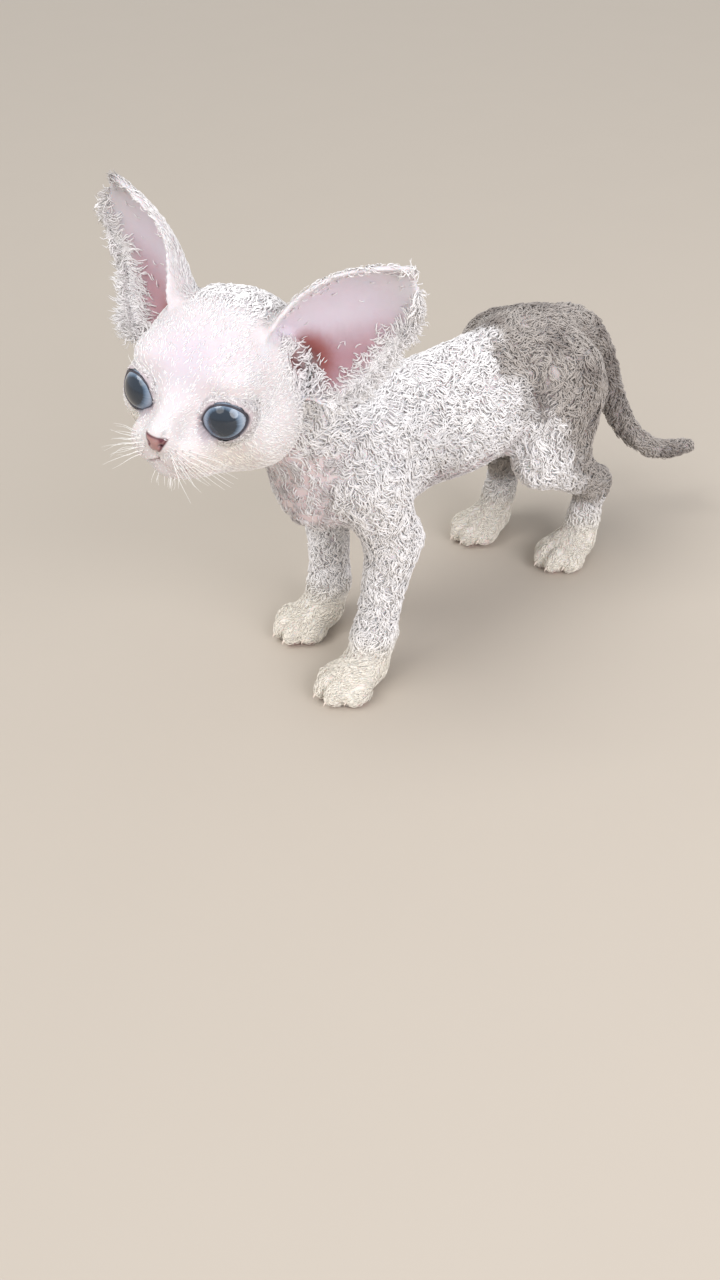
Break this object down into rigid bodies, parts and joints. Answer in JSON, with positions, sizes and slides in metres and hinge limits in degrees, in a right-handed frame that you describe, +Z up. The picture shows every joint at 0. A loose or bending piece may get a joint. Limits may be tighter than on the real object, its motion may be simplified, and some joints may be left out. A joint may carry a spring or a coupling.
{
  "type": "devon rex kitten model",
  "caption": "Life-size still model of a curly-coated, big-eared kitten standing on four paws, head turned and tilted to one side.",
  "frame": {"origin": "on the floor under the middle of the bounding box", "axes": "+Z up, the kitten faces -Y and its left side is towards +X"},
  "size_m": [0.1034, 0.276, 0.1943],
  "materials": {
    "white_coat": "short curly white fur over pink skin",
    "grey_coat": "short curly fur shading to smoke grey",
    "ear_skin": "thin pink skin with downy fur",
    "eye": "wet blue-grey eye"
  },
  "bodies": {
    "root": {"ear_left": "ear_skin", "ear_right": "ear_skin", "eye_left": "eye", "eye_right": "eye", "fore_left_arm": "white_coat", "fore_left_paw": "white_coat", "fore_left_upper": "white_coat", "fore_right_arm": "white_coat", "fore_right_paw": "white_coat", "fore_right_upper": "white_coat", "head": "white_coat", "hind_left_foot": "white_coat", "hind_left_paw": "white_coat", "hind_left_shank": "grey_coat", "hind_left_thigh": "grey_coat", "hind_right_foot": "white_coat", "hind_right_paw": "white_coat", "hind_right_shank": "grey_coat", "hind_right_thigh": "grey_coat", "neck": "white_coat", "tail_base": "grey_coat", "tail_middle": "grey_coat", "tail_tip": "grey_coat", "trunk": "white_coat"}
  },
  "joints": []
}
